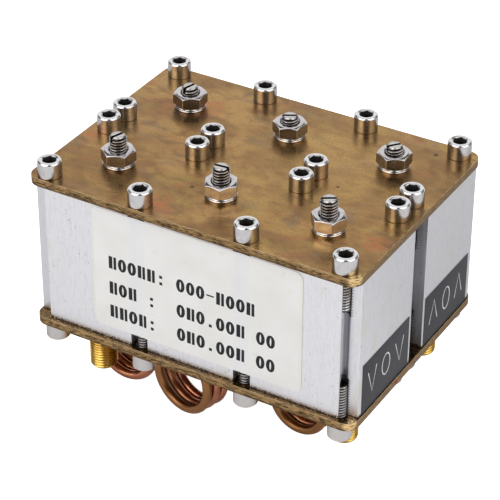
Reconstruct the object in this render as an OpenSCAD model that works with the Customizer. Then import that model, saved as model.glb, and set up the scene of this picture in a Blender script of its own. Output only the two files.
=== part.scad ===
// A six cavity radio duplexer: two aluminium extrusions between brass plates,
// each with three helical resonators, joined by coiled copper coaxial lines.
// Millimetres. X runs along the length, the labelled front faces -Y, and Z is up.
// The origin lies under the middle, on the surface that the coax coils rest on.

/* [Band bodies] */
// Width of one resonator cavity, along the length
cavity_w = 24; // [22:0.5:28]
// Depth of one resonator cavity, front to back
cavity_d = 22.4; // [21:0.4:26]
// Rounding of the cavity corners
cavity_r = 4; // [3:0.25:5]
// Thickness of every wall and septum
wall = 2.4; // [2.2:0.1:3]
// Length of the extruded bodies between the plates
body_h = 35; // [32:1:45]
// Gap between the low band body and the high band body
body_gap = 2.8; // [2:0.2:5]
// Rounding of the two rear corners of a body
body_corner_r = 1.5; // [0.5:0.25:2]
// From the front or rear face to the axis of the nearest screw port
port_inset = 1.9; // [1.7:0.1:2.2]
// From the end face to the axis of the nearest screw port
port_end = 4.1; // [3.8:0.1:4.6]
// Metal kept round a screw port
port_wall = 1.2; // [0.8:0.1:1.6]
// Untapped diameter of a screw port
port_d = 2.5; // [2.2:0.1:2.7]
// How far a rebate reaches past the axis of its screw port
rebate_past = 0.3; // [0:0.1:0.6]
// Width of the rebates in the front face
front_rebate_w = 4.2; // [3.4:0.2:5]
// Width of the rebates in the rear face
rear_rebate_w = 4.1; // [3.3:0.2:4.7]
// How far the front face runs past the axis of a corner screw port
corner_past = 0.5; // [0:0.1:1]

/* [Plates] */
// Thickness of the brass plates
plate_t = 2; // [1.5:0.25:3]
// Overhang of the plates beyond the ends of the bodies
end_overhang = 0.35; // [0:0.05:1]
// Overhang of the plates beyond the front and rear faces
side_overhang = 1.1; // [0.5:0.1:2]
// Rounding of the plate corners
plate_r = 3; // [1:0.5:4]

/* [Cap screws] */
// Thread diameter of the cap screws
cap_d = 3; // [2.8:0.1:3]
// Length of a cap screw under its head
cap_len = 10; // [7:1:14]
// Diameter of the head
cap_head_d = 5.5; // [5:0.1:5.6]
// Height of the head
cap_head_h = 3.85; // [3:0.05:4]
// Hex socket, across its flats
cap_socket = 2.9; // [2:0.1:3.2]
// Depth of the hex socket
cap_socket_depth = 2; // [1:0.25:2.5]
// Chamfer round the top of the head
cap_chamfer = 0.35; // [0.1:0.05:0.5]
// Extra diameter of the plate holes over the thread
cap_play = 0.3; // [0.1:0.05:0.6]
// Extra diameter of the tapped ports over the screw
tap_play = 0.1; // [0.05:0.05:0.2]
// Tapped depth left past the end of a screw
tap_spare = 1.5; // [0.5:0.5:4]

/* [Tuning screws] */
// Thread diameter of the tuning screws
tuner_d = 3.9; // [3.5:0.1:4.5]
// Length of a tuning screw
tuner_len = 20; // [18:1:24]
// Extra diameter of the tapped holes over a tuning screw
tuner_play = 0.1; // [0.04:0.02:0.2]
// Width of the screwdriver slot
slot_w = 0.75; // [0.5:0.05:1]
// Depth of the screwdriver slot
slot_depth = 1.1; // [0.7:0.1:1.5]
// Chamfer at both ends of a tuning screw
tuner_chamfer = 0.4; // [0.2:0.1:0.6]
// Lock nut, across its flats
nut_af = 7; // [6.5:0.1:8]
// Height of the lock nut
nut_h = 2.9; // [2:0.1:3.5]
// Countersink at both ends of the nut's hole
nut_sink = 0.35; // [0.2:0.05:0.6]
// Width of the step from the nut's flat faces to its sides, at the middle of a side
nut_step = 0.05; // [0.02:0.01:0.1]
// Outer diameter of the split washer
washer_d = 7.2; // [6.6:0.1:7.6]
// Thickness of the split washer
washer_t = 0.85; // [0.6:0.05:1.2]
// Clearance between the split washer and its screw
washer_play = 0.2; // [0.1:0.05:0.3]
// Gap at the split of the washer
washer_split = 0.6; // [0.4:0.1:1]
// Direction of the split of the middle washers, and its turn from one washer to the next
split_turn = 130; // [0:10:350]
split_step = 40; // [0:10:90]

/* [Helical resonators] */
// Mean radius of a resonator winding
winding_r = 6.9; // [6:0.1:7.2]
// Wire diameter of the winding
winding_wire = 1.6; // [1.2:0.1:2]
// Rise of the winding for each turn
winding_pitch = 3.6; // [2.6:0.1:3.8]
// Half turns in the winding
winding_halves = 10; // [8:1:11]
// From the bottom plate to the start of the winding
winding_foot = 4.6; // [4:0.2:6]
// Bend radius where the winding rises from the plate
winding_bend = 1.8; // [1.4:0.1:2.4]

/* [Coaxial lines] */
// Outer diameter of the copper coax
coax_d = 2.2; // [1.8:0.1:2.3]
// From the lowest point of the coils to the bottom plate
coil_drop = 18; // [17:0.5:24]
// Pitch of the turns of the coils
coil_pitch = 2.6; // [2.5:0.1:3.2]
// Half turns in a coil
coil_halves = 5; // [3:2:5]
// Mean radius of the first line of each band
line_1_r = 7.3; // [6.8:0.1:7.6]
// Mean radius of the second line of each band
line_2_r = 6.4; // [5.8:0.1:6.8]
// Mean radius of the antenna line
antenna_r = 6.3; // [5.5:0.1:6.5]
// First line: turn of its coil, whose inner end leans to the right
line_1_turn = 15; // [10:1:18]
// Second line: turn of its coil, whose inner end leans to the right
line_2_turn = 8; // [4:1:12]
// First line: its first limb from the septum, along X
line_1_x = -0.9; // [-1.2:0.1:-0.5]
// Second line: its first limb from the septum, along X
line_2_x = 0.2; // [-0.2:0.1:0.8]
// Antenna line: its axis from the middle of the first cavity, along X
antenna_x = 2; // [1.6:0.1:2.6]
// First line: its first turn from the middle of the body, outwards
line_1_y = 6.3; // [6:0.1:7]
// Second line: its first turn from the middle of the body, inwards
line_2_y = 0.1; // [0:0.1:1]
// Antenna line: its first turn from the middle of the low band body, outwards
antenna_y = 2.3; // [1.9:0.1:2.6]
// Antenna line: its far end from the middle of the high band body, inwards
antenna_far = 3; // [0:0.5:5]
// From the septum to the axis of a line that enters beside it
entry_in = 2.2; // [1.8:0.1:3]
// Bend radius of the leads
lead_bend = 3.3; // [2.5:0.1:3.4]
// From the bottom plate to where the antenna line bends into its run along the plate
antenna_drop = 1; // [0.5:0.1:1.5]
// Length of coax that stands above the bottom plate
coax_stub = 0.8; // [0.4:0.1:1.5]
// Extra diameter of the plate holes over the coax
coax_play = 0.1; // [0.04:0.02:0.3]
// Diameter of the tap wires
tap_d = 0.5; // [0.4:0.05:0.8]
// Gap for solder at both ends of a tap wire
tap_gap = 0.2; // [0.15:0.05:0.4]

/* [Coaxial jacks] */
// Thread diameter of a jack
jack_d = 6.35; // [6:0.05:7]
// Length of a jack below the plate
jack_len = 10.4; // [8:0.2:12]
// Chamfer at the mouth of a jack
jack_chamfer = 0.45; // [0.2:0.05:0.6]
// Diameter of the spigot that is soldered into the plate
spigot_d = 5.2; // [5.1:0.1:5.6]
// Height of the spigot above the plate
spigot_h = 0.5; // [0.2:0.1:1]
// Width of the mouth
mouth_d = 4.6; // [4.5:0.05:5]
// Depth of the mouth
mouth_depth = 1.9; // [1:0.1:3]
// Diameter of the insulator
insulator_d = 4.1; // [3.6:0.1:4.3]
// Diameter of the centre contact
contact_d = 1.27; // [1:0.01:1.5]
// Bore of the centre contact
contact_bore = 0.92; // [0.8:0.02:0.94]
// Height of the centre contact above its insulator
contact_rise = 0.6; // [0.3:0.1:1]
// Depth of the bore of the centre contact
contact_depth = 3; // [2:0.25:5]
// Extra diameter between the parts of a jack
jack_play = 0.06; // [0.04:0.02:0.2]
// Band jacks: from the middle of the third cavity, along X
band_jack_x = 7.4; // [7.2:0.1:7.6]
// Band jacks: from the middle of the third cavity, outwards
band_jack_y = 4; // [3.8:0.1:4.4]
// Antenna jack: from the middle of the first cavity, along X
antenna_jack_x = -0.4; // [-1:0.1:0.5]
// Antenna jack: from the middle of the first cavity, outwards
antenna_jack_y = 8; // [8:0.05:8.2]

/* [Labels] */
// Thickness of the labels
label_t = 0.12; // [0.05:0.01:0.3]
// Length of the front label
front_label_w = 53; // [45:1:60]
// Height of the front label
front_label_h = 30.8; // [26:0.2:31]
// Middle of the front label, along X
front_label_x = 1.6; // [-2:0.1:3]
// From the top of the body to the front label
front_label_top = 1; // [0.5:0.1:1]
// Corner radius of the front label
front_label_r = 2; // [1:0.25:3]
// Length of the end labels
end_label_w = 21.5; // [18:0.5:22]
// Height of the end labels
end_label_h = 12.8; // [10:0.2:15]
// Corner radius of the end labels
end_label_r = 0.4; // [0.2:0.1:1]
// Low band label: its middle behind the middle of its body
low_label_shift = 0.8; // [-1:0.1:1]
// High band label: its middle behind the middle of its body
high_label_shift = 0.1; // [-1:0.1:1]
// Gap between the end labels and the bottom plate
end_label_gap = 0.05; // [0:0.05:1]

/* [Hidden] */
$fn = 48;

// A cut reaches this far past the face that it starts from
past = 1;
// Three cavities stand side by side in each body, and four screw ports along each side
pitch = cavity_w + wall;
body_len = 3 * cavity_w + 4 * wall;
body_depth = cavity_d + 2 * wall;
body_y = (body_gap + body_depth) / 2;
plate_len = body_len + 2 * end_overhang;
plate_w = 2 * (body_y + body_depth / 2 + side_overhang);
// Heights of the stack, from the surface up
plate_z = coil_drop;
body_z = plate_z + plate_t;
top_z = body_z + body_h;
nut_z = top_z + plate_t + washer_t;
LOW = -1;
HIGH = 1;
BANDS = [LOW, HIGH];
CAVITIES = [-1, 0, 1];
port_xs = [-body_len / 2 + port_end, -pitch / 2, pitch / 2, body_len / 2 - port_end];
port_y = body_depth / 2 - port_inset;
rebate_depth = port_inset + rebate_past;
tapped_d = cap_d + tap_play;
tapped_depth = cap_len - plate_t + tap_spare;
// How far each tuning screw stands above its lock nut, and how its slot and nut are turned,
// for the three cavities of each band from left to right
low_proud = [3.5, 3.6, 3.9];
high_proud = [1.6, 1.5, 1.75];
low_slot_turn = [71, 5, 32];
high_slot_turn = [75, 30, 51];
low_nut_turn = [22, -3, 9];
high_nut_turn = [35, 22.5, 30.5];
// The winding starts on the left of its axis
winding_turn = 180;
// Points in each turn of a coaxial line
coil_steps = 20;
coax_end_z = body_z + coax_stub;
spigot_z = body_z + spigot_h;
mouth_z = plate_z - jack_len;
contact_top = spigot_z + contact_rise;

function cavity_xy(band, i) = [i * pitch, band * body_y];
function tap_turn(from, axis) = atan2(from[1] - axis[1], from[0] - axis[0]);
// Height of the winding's centre line in its first turn, in the direction of an angle
function winding_z(angle) =
  body_z + winding_foot + winding_pitch * ((angle - winding_turn + 720) % 360) / 360;
function unit(v) = v / norm(v);
// From a coil's axis to the point of its wire at an angle, which starts on the left and goes down
function coil_spoke(angle, turn) =
  [-cos(angle) * cos(turn), cos(angle) * sin(turn), -sin(angle)];
// A coil winds from its start along an axis that is turned from Y towards X. A coil is given as
// the X and Y of its start, its mean radius and its turn.
function coil_point(coil, angle) =
  [coil[0], coil[1], coil[2] + coax_d / 2]
  + coil_pitch * angle / 360 * [sin(coil[3]), cos(coil[3]), 0]
  + coil[2] * coil_spoke(angle, coil[3]);
coil_angles = [for (k = [0 : coil_halves * coil_steps / 2]) 360 * k / coil_steps];
coil_last = 180 * coil_halves;
line_1_coil = [
  -pitch / 2 + line_1_x + line_1_r * cos(line_1_turn), -body_y - line_1_y, line_1_r, line_1_turn];
line_2_coil = [
  pitch / 2 + line_2_x + line_2_r * cos(line_2_turn), -body_y + line_2_y, line_2_r, line_2_turn];
antenna_coil = [-pitch + antenna_x, -body_y - antenna_y, antenna_r, 0];
// Both ends of a line between two cavities: beside the septum, and at the end of its coil
function line_ends(coil, septum) = [
  [septum - wall / 2 - entry_in, coil_point(coil, 0)[1]],
  [coil_point(coil, coil_last)[0], coil_point(coil, coil_last)[1]]
];
line_1_ends = line_ends(line_1_coil, -pitch / 2);
line_2_ends = line_ends(line_2_coil, pitch / 2);
antenna_ends = [
  [coil_point(antenna_coil, 0)[0], coil_point(antenna_coil, 0)[1]],
  [coil_point(antenna_coil, coil_last)[0], body_y - antenna_far]
];
function flipped(p, band) = [p[0], -band * p[1]];
antenna_jack = [-pitch + antenna_jack_x, -body_y - antenna_jack_y];
function band_jack(band) = [pitch + band_jack_x, band * (body_y + band_jack_y)];

module rounded_rect(length, width, r) {
  square([length - 2 * r, width], center = true);
  square([length, width - 2 * r], center = true);
  for (x = [-1, 1], y = [-1, 1])
    translate([x * (length / 2 - r), y * (width / 2 - r)]) circle(r);
}

module at_ports(band) {
  for (x = port_xs, y = [-port_y, port_y]) translate([x, band * body_y + y]) children();
}

module at_cavities() {
  for (band = BANDS, i = CAVITIES) translate(cavity_xy(band, i)) children();
}

// The section of a band body: three cavities, a boss at each screw port, and the rebates
// that open the ports to the front and the rear
module body_section() {
  front_y = -body_depth / 2;
  corner_x = port_xs[3] + corner_past;
  difference() {
    rounded_rect(body_len, body_depth, body_corner_r);
    difference() {
      for (i = CAVITIES) translate([i * pitch, 0]) rounded_rect(cavity_w, cavity_d, cavity_r);
      for (x = port_xs, y = [-port_y, port_y])
        translate([x, y]) circle(tapped_d / 2 + port_wall);
    }
    for (x = [port_xs[1], port_xs[2]])
      translate([x - front_rebate_w / 2, front_y - past])
        square([front_rebate_w, rebate_depth + past]);
    for (x = [-corner_x - body_len, corner_x])
      translate([x, front_y - past]) square([body_len, rebate_depth + past]);
    for (x = port_xs)
      translate([x - rear_rebate_w / 2, -front_y - rebate_depth])
        square([rear_rebate_w, rebate_depth + past]);
  }
}

module band_body(band) {
  color([0.83, 0.84, 0.86]) difference() {
    translate([0, band * body_y, body_z]) linear_extrude(body_h) body_section();
    at_ports(band) {
      translate([0, 0, body_z - past]) cylinder(h = body_h + 2 * past, d = port_d);
      translate([0, 0, body_z - past]) cylinder(h = tapped_depth + past, d = tapped_d);
      translate([0, 0, top_z - tapped_depth]) cylinder(h = tapped_depth + past, d = tapped_d);
    }
  }
}

module plate_blank(z) {
  translate([0, 0, z]) linear_extrude(plate_t) rounded_rect(plate_len, plate_w, plate_r);
}

module plate_hole(z, d) {
  translate([0, 0, z - past]) cylinder(h = plate_t + 2 * past, d = d);
}

module top_plate() {
  color([0.66, 0.5, 0.28]) difference() {
    plate_blank(top_z);
    for (band = BANDS) at_ports(band) plate_hole(top_z, cap_d + cap_play);
    at_cavities() plate_hole(top_z, tuner_d + tuner_play);
  }
}

module bottom_plate() {
  coax_hole = coax_d + coax_play;
  color([0.66, 0.5, 0.28]) difference() {
    plate_blank(plate_z);
    for (band = BANDS) {
      at_ports(band) plate_hole(plate_z, cap_d + cap_play);
      for (p = concat(line_1_ends, line_2_ends))
        translate(flipped(p, band)) plate_hole(plate_z, coax_hole);
      translate(band_jack(band)) plate_hole(plate_z, spigot_d + jack_play);
    }
    for (p = antenna_ends) translate(p) plate_hole(plate_z, coax_hole);
    translate(antenna_jack) plate_hole(plate_z, spigot_d + jack_play);
  }
}

// A socket head cap screw, its head standing on z = 0
module cap_screw() {
  r = cap_head_d / 2;
  difference() {
    rotate_extrude() polygon([
      [0, -cap_len], [cap_d / 2 - cap_chamfer, -cap_len], [cap_d / 2, -cap_len + cap_chamfer],
      [cap_d / 2, 0], [r, 0], [r, cap_head_h - cap_chamfer],
      [r - cap_chamfer, cap_head_h], [0, cap_head_h]
    ]);
    translate([0, 0, cap_head_h - cap_socket_depth])
      cylinder(h = cap_socket_depth + past, d = cap_socket / cos(30), $fn = 6);
  }
}

module top_cap_screws() {
  color([0.8, 0.8, 0.79])
    for (band = BANDS) at_ports(band) translate([0, 0, top_z + plate_t]) cap_screw();
}

module bottom_cap_screws() {
  color([0.7, 0.7, 0.7])
    for (band = BANDS) at_ports(band) translate([0, 0, plate_z]) mirror([0, 0, 1]) cap_screw();
}

module tuning_screw(band, i) {
  proud = band == LOW ? low_proud[i + 1] : high_proud[i + 1];
  turn = band == LOW ? low_slot_turn[i + 1] : high_slot_turn[i + 1];
  r = tuner_d / 2;
  tip_z = nut_z + nut_h + proud;
  color([0.78, 0.76, 0.72]) translate(cavity_xy(band, i)) translate([0, 0, tip_z])
    difference() {
      rotate_extrude() polygon([
        [0, -tuner_len], [r - tuner_chamfer, -tuner_len], [r, -tuner_len + tuner_chamfer],
        [r, -tuner_chamfer], [r - tuner_chamfer, 0], [0, 0]
      ]);
      rotate([0, 0, turn]) translate([-tuner_d, -slot_w / 2, -slot_depth])
        cube([2 * tuner_d, slot_w, slot_depth + past]);
    }
}

// A hexagon nut whose corners are turned down by a cone, with a countersink at both ends of
// its hole
module lock_nut(band, i) {
  turn = band == LOW ? low_nut_turn[i + 1] : high_nut_turn[i + 1];
  hole_r = (tuner_d + tuner_play) / 2;
  corner_r = nut_af / 2 / cos(30);
  face_r = nut_af / 2 - nut_step;
  cone_r = corner_r + past;
  drop = (cone_r - face_r) * tan(30);
  color([0.8, 0.79, 0.76]) translate(cavity_xy(band, i)) translate([0, 0, nut_z])
    difference() {
      intersection() {
        rotate([0, 0, turn]) cylinder(h = nut_h, r = corner_r, $fn = 6);
        rotate_extrude() polygon([
          [0, 0], [face_r, 0], [cone_r, drop], [cone_r, nut_h - drop], [face_r, nut_h], [0, nut_h]
        ]);
      }
      rotate_extrude() polygon([
        [0, -past], [hole_r + nut_sink + past, -past], [hole_r, nut_sink],
        [hole_r, nut_h - nut_sink], [hole_r + nut_sink + past, nut_h + past], [0, nut_h + past]
      ]);
    }
}

module lock_washer(band, i) {
  color([0.72, 0.71, 0.68]) translate(cavity_xy(band, i)) translate([0, 0, top_z + plate_t])
    difference() {
      cylinder(h = washer_t, d = washer_d);
      translate([0, 0, -past]) cylinder(h = washer_t + 2 * past, d = tuner_d + 2 * washer_play);
      rotate([0, 0, split_turn + split_step * i]) translate([0, -washer_split / 2, -past])
        cube([washer_d, washer_split, washer_t + 2 * past]);
    }
}

// A wire swept along its points, with one ring of corners across the path at each point.
// A ring's first corner lies to the side that is given for its point.
module swept_wire(path, sides, d, corners) {
  last = len(path) - 1;
  rings = [for (i = [0 : last])
    let (
      along = unit(path[min(i + 1, last)] - path[max(i - 1, 0)]),
      side = unit(sides[i] - (sides[i] * along) * along),
      up = cross(along, side)
    )
    for (k = [0 : corners - 1])
      path[i] + d / 2 * (cos(360 * k / corners) * side + sin(360 * k / corners) * up)];
  walls = [for (i = [0 : last - 1], k = [0 : corners - 1])
    let (a = i * corners + k, b = i * corners + (k + 1) % corners)
    each [[a, a + corners, b], [b, a + corners, b + corners]]];
  foot = [[for (k = [0 : corners - 1]) k]];
  head = [[for (k = [corners - 1 : -1 : 0]) last * corners + k]];
  polyhedron(rings, concat(walls, foot, head), convexity = 10);
}

// Points on a quarter or part circle in a plane, from one angle to another
function arc(centre, across, up, r, from, to, steps) =
  [for (k = [0 : steps])
    let (t = from + (to - from) * k / steps) centre + r * (cos(t) * across + sin(t) * up)];

// The winding climbs evenly from its left side. Its foot bends down into the bottom plate.
module resonator(band, i) {
  steps = 14;
  turned = [[cos(winding_turn), sin(winding_turn), 0], [-sin(winding_turn), cos(winding_turn), 0]];
  foot = arc(
    winding_r * turned[0] + [0, 0, winding_foot - winding_bend], turned[1], [0, 0, 1],
    winding_bend, 180, 112.5, 3);
  climb = [for (k = [0 : winding_halves * steps / 2])
    let (t = winding_turn + 360 * k / steps)
    [winding_r * cos(t), winding_r * sin(t), winding_foot + winding_pitch * k / steps]];
  path = concat([foot[0] - [0, 0, winding_foot - winding_bend]], foot, climb);
  sides = [for (q = path) [q[0], q[1], 0]];
  color([0.85, 0.8, 0.72]) translate(cavity_xy(band, i)) translate([0, 0, body_z])
    swept_wire(path, sides, winding_wire, 6);
}

// A lead that comes down from the plate, leans to the right and hangs straight again above the
// first limb. Its lower bend stops a little short of upright, where the coil begins.
function leaning_lead(from, limb) =
  let (
    lean = 40,
    short_of_upright = 10,
    b = lead_bend,
    run = (limb[0] - from[0] - 2 * b * (1 - cos(lean))) / sin(lean),
    elbow_z = limb[2] + 2 * b * sin(lean) + run * cos(lean)
  )
  concat(
    [[from[0], from[1], coax_end_z]],
    arc([from[0] + b, from[1], elbow_z], [1, 0, 0], [0, 0, 1], b, 180, 180 + lean, 3),
    arc([limb[0] - b, from[1], limb[2]], [1, 0, 0], [0, 0, 1], b, lean, short_of_upright, 3)
  );

// A line between two cavities of one band: the high band's lines mirror the low band's
module band_line(band, coil, ends) {
  lead = leaning_lead(ends[0], coil_point(coil, 0));
  path = concat(
    lead, [for (t = coil_angles) coil_point(coil, t)], [[ends[1][0], ends[1][1], coax_end_z]]);
  sides = concat(
    [for (q = lead) coil_spoke(0, coil[3])],
    [for (t = coil_angles) coil_spoke(t, coil[3])],
    [coil_spoke(coil_last, coil[3])]
  );
  color([0.72, 0.42, 0.28]) mirror([0, band == HIGH ? 1 : 0, 0])
    swept_wire(path, sides, coax_d, 8);
}

module line_1(band) {
  band_line(band, line_1_coil, line_1_ends);
}

module line_2(band) {
  band_line(band, line_2_coil, line_2_ends);
}

// The antenna line winds under the low band body, then runs back under the plate
module antenna_line() {
  b = lead_bend;
  far = antenna_ends[1];
  run_z = plate_z - antenna_drop - b;
  last = coil_point(antenna_coil, coil_last)[1];
  tail = concat(
    arc([far[0], last + b, run_z - b], [0, 1, 0], [0, 0, 1], b, 180, 90, 4),
    arc([far[0], far[1] - b, run_z + b], [0, 1, 0], [0, 0, 1], b, 270, 360, 4),
    [[far[0], far[1], coax_end_z]]
  );
  path = concat(
    [[antenna_ends[0][0], antenna_ends[0][1], coax_end_z]],
    [for (t = coil_angles) coil_point(antenna_coil, t)], tail);
  sides = concat(
    [coil_spoke(0, 0)],
    [for (t = coil_angles) coil_spoke(t, 0)],
    [for (q = tail) coil_spoke(coil_last, 0)]
  );
  color([0.72, 0.42, 0.28]) swept_wire(path, sides, coax_d, 8);
}

// A wire from a line's end, or from a jack, to the first turn of the winding
module tap_wire(from, axis, z) {
  angle = tap_turn(from, axis);
  foot = [from[0], from[1], z + tap_gap];
  head = [axis[0] + winding_r * cos(angle), axis[1] + winding_r * sin(angle), winding_z(angle)];
  v = head - foot;
  translate(foot) rotate([0, acos(v[2] / norm(v)), atan2(v[1], v[0])])
    cylinder(h = norm(v) - winding_wire / 2 - tap_gap, d = tap_d);
}

module line_1_taps(band) {
  color([0.8, 0.74, 0.62]) for (i = [0, 1])
    tap_wire(flipped(line_1_ends[i], band), cavity_xy(band, i - 1), coax_end_z);
}

module line_2_taps(band) {
  color([0.8, 0.74, 0.62]) for (i = [0, 1])
    tap_wire(flipped(line_2_ends[i], band), cavity_xy(band, i), coax_end_z);
}

module antenna_line_taps() {
  color([0.8, 0.74, 0.62]) for (i = [0, 1])
    tap_wire(antenna_ends[i], cavity_xy(BANDS[i], -1), coax_end_z);
}

module jack_shell(p) {
  r = jack_d / 2;
  bore_r = (insulator_d + jack_play) / 2;
  color([0.86, 0.68, 0.25]) translate(p) rotate_extrude() polygon([
    [mouth_d / 2, mouth_z], [r - jack_chamfer, mouth_z], [r, mouth_z + jack_chamfer],
    [r, plate_z], [spigot_d / 2, plate_z], [spigot_d / 2, spigot_z], [bore_r, spigot_z],
    [bore_r, mouth_z + mouth_depth], [mouth_d / 2, mouth_z + mouth_depth]
  ]);
}

module jack_insulator(p) {
  z = mouth_z + mouth_depth;
  color([0.93, 0.93, 0.9]) translate([p[0], p[1], z]) difference() {
    cylinder(h = spigot_z - z, d = insulator_d);
    translate([0, 0, -past]) cylinder(h = spigot_z - z + 2 * past, d = contact_d + jack_play);
  }
}

// The centre contact, with its tap wire, from the mouth up to the winding
module jack_contact(p, axis) {
  z = mouth_z + mouth_depth;
  color([0.88, 0.72, 0.3]) {
    translate([p[0], p[1], z]) difference() {
      cylinder(h = contact_top - z, d = contact_d);
      translate([0, 0, -past]) cylinder(h = contact_depth + past, d = contact_bore);
    }
    tap_wire(p, axis, contact_top);
  }
}

module front_label() {
  color([0.93, 0.91, 0.85])
    translate([front_label_x, -body_y - body_depth / 2, top_z - front_label_top - front_label_h / 2])
      rotate([90, 0, 0]) linear_extrude(label_t)
        rounded_rect(front_label_w, front_label_h, front_label_r);
}

module end_label(band) {
  shift = band == LOW ? low_label_shift : high_label_shift;
  color([0.2, 0.21, 0.23])
    translate([body_len / 2, band * body_y + shift, body_z + end_label_gap + end_label_h / 2])
      rotate([90, 0, 90]) linear_extrude(label_t)
        rounded_rect(end_label_w, end_label_h, end_label_r);
}

top_plate();
bottom_plate();
band_body(LOW);  // low_band_body
band_body(HIGH);  // high_band_body
top_cap_screws();
bottom_cap_screws();
for (i = CAVITIES) {
  tuning_screw(LOW, i);
  tuning_screw(HIGH, i);
  lock_nut(LOW, i);
  lock_nut(HIGH, i);
  lock_washer(LOW, i);
  lock_washer(HIGH, i);
  resonator(LOW, i);
  resonator(HIGH, i);
}
antenna_line();
line_1(LOW);  // low_line_1
line_2(LOW);  // low_line_2
line_1(HIGH);  // high_line_1
line_2(HIGH);  // high_line_2
antenna_line_taps();
line_1_taps(LOW);  // low_line_1_taps
line_2_taps(LOW);  // low_line_2_taps
line_1_taps(HIGH);  // high_line_1_taps
line_2_taps(HIGH);  // high_line_2_taps
jack_shell(antenna_jack);  // antenna_jack_shell
jack_shell(band_jack(LOW));  // low_jack_shell
jack_shell(band_jack(HIGH));  // high_jack_shell
jack_insulator(antenna_jack);  // antenna_jack_insulator
jack_insulator(band_jack(LOW));  // low_jack_insulator
jack_insulator(band_jack(HIGH));  // high_jack_insulator
jack_contact(antenna_jack, cavity_xy(LOW, -1));  // antenna_jack_contact
jack_contact(band_jack(LOW), cavity_xy(LOW, 1));  // low_jack_contact
jack_contact(band_jack(HIGH), cavity_xy(HIGH, 1));  // high_jack_contact
front_label();
end_label(LOW);  // low_band_label
end_label(HIGH);  // high_band_label
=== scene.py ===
import bmesh
import bpy
import numpy as np
from mathutils import Matrix, Vector


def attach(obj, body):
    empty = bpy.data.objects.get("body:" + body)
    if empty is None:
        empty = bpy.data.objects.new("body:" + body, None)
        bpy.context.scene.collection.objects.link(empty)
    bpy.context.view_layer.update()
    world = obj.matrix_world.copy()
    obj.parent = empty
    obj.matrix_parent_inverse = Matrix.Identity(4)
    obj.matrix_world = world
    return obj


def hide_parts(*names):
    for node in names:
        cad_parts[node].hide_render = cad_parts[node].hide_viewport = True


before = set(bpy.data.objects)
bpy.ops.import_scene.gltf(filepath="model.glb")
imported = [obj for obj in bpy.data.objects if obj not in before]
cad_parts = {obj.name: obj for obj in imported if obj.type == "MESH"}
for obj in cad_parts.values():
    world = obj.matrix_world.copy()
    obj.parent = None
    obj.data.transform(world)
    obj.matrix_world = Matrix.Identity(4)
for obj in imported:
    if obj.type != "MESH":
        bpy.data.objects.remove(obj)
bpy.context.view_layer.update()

# Camera. A long lens looks down on the duplexer's front right corner, as in a catalogue
# picture: the place was solved from the corners of the plates and the heads of the screws.
# Sizes are in millimetres, but for the studio's, and MM turns them into the scene's metres.
MM = 0.001
scene = bpy.context.scene
TURN, CLIMB, ROLL = np.radians([30.3124, 33.0576, 0.29472])
REACH, ASIDE, BELOW = 472.5946, -1.38526, -18.83871
TOP_OF_PLATE = 57.0

back = np.array([np.sin(TURN) * np.cos(CLIMB), -np.cos(TURN) * np.cos(CLIMB), np.sin(CLIMB)])
level = np.array([np.cos(TURN), np.sin(TURN), 0.0])
raised = np.cross(back, level)
right = np.cos(ROLL) * level + np.sin(ROLL) * raised
up = np.cos(ROLL) * raised - np.sin(ROLL) * level
stand = np.array([0, 0, TOP_OF_PLATE]) + ASIDE * right + BELOW * up + REACH * back

camera = bpy.data.objects.new("camera", bpy.data.cameras.new("camera"))
camera.data.sensor_width = 36.0
camera.data.lens = 154.09
camera.data.clip_start = 0.01
camera.data.clip_end = 20.0
camera.matrix_world = Matrix(np.vstack([
    np.column_stack([right, up, back, stand * MM]), [0, 0, 0, 1]]).tolist())
scene.collection.objects.link(camera)
scene.camera = camera
scene.view_settings.view_transform = "Standard"


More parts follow.
